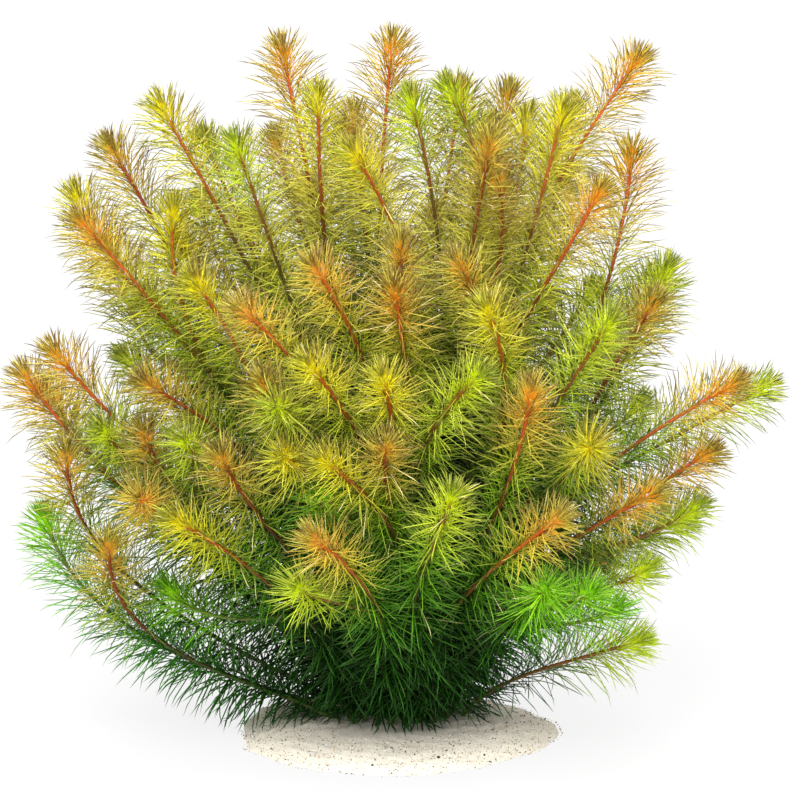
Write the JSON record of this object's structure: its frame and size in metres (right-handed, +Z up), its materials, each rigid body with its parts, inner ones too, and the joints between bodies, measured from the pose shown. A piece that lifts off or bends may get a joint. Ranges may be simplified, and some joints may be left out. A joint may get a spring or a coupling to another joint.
{
  "type": "whorly rotala clump",
  "caption": "Bushy clump of a water plant: upright and arching stems with whorls of needle leaves, rooted in a low patch of sand.",
  "frame": {"origin": "on the sand patch's flat underside, below the middle of the stems' feet, 15 mm behind the patch's centre", "axes": "+Z up along the stems, +X to the right and -Y to the front as the picture shows the clump"},
  "size_m": [0.283, 0.2306, 0.2566],
  "materials": {
    "sand": "fine damp pale sand with black, brown and tan grains, matt",
    "gold_shoots": "soft needle leaves, golden yellow at the tip and olive lower down, on an orange-red stem",
    "lime_shoots": "soft needle leaves, bright green all along, on an olive stem",
    "olive_shoots": "soft needle leaves, yellow-green at the tip and dull green lower down, on an olive stem",
    "orange_shoots": "soft needle leaves, orange at the tip and olive lower down, on a red stem",
    "peach_shoots": "soft needle leaves, pale peach at the tip and yellow-green lower down, on a red stem",
    "russet_shoots": "soft needle leaves, reddish brown at the tip and grey-brown lower down, on a brown-red stem"
  },
  "bodies": {
    "root": {"sand_bed": "sand", "left_stem_01": "gold_shoots", "left_stem_02": "russet_shoots", "left_stem_03": "orange_shoots", "left_stem_04": "orange_shoots", "left_stem_05": "orange_shoots", "left_stem_06": "russet_shoots", "left_stem_07": "russet_shoots", "left_stem_08": "lime_shoots", "left_stem_09": "russet_shoots", "left_stem_10": "peach_shoots", "left_stem_11": "gold_shoots", "crown_stem_01": "orange_shoots", "crown_stem_02": "orange_shoots", "crown_stem_03": "olive_shoots", "crown_stem_04": "gold_shoots", "crown_stem_05": "olive_shoots", "crown_stem_06": "russet_shoots", "crown_stem_07": "gold_shoots", "crown_stem_08": "orange_shoots", "crown_stem_09": "russet_shoots", "right_stem_01": "orange_shoots", "right_stem_02": "olive_shoots", "right_stem_03": "orange_shoots", "right_stem_04": "gold_shoots", "right_stem_05": "orange_shoots", "right_stem_06": "orange_shoots", "right_stem_07": "olive_shoots", "right_stem_08": "lime_shoots", "right_stem_09": "olive_shoots", "front_stem_01": "gold_shoots", "front_stem_02": "olive_shoots", "front_stem_03": "orange_shoots", "front_stem_04": "orange_shoots", "front_stem_05": "peach_shoots", "front_stem_06": "peach_shoots", "front_stem_07": "gold_shoots", "front_stem_08": "olive_shoots", "front_stem_09": "russet_shoots", "front_stem_10": "gold_shoots", "front_stem_11": "peach_shoots", "front_stem_12": "olive_shoots", "front_stem_13": "peach_shoots", "back_stem_01": "orange_shoots", "back_stem_02": "olive_shoots", "back_stem_03": "gold_shoots", "back_stem_04": "russet_shoots", "back_stem_05": "olive_shoots", "back_stem_06": "orange_shoots", "back_stem_07": "olive_shoots", "back_stem_08": "gold_shoots", "back_stem_09": "russet_shoots", "back_stem_10": "olive_shoots", "back_stem_11": "orange_shoots", "back_stem_12": "olive_shoots", "back_stem_13": "gold_shoots", "back_stem_14": "russet_shoots", "back_stem_15": "olive_shoots", "back_stem_16": "orange_shoots"}
  },
  "joints": []
}
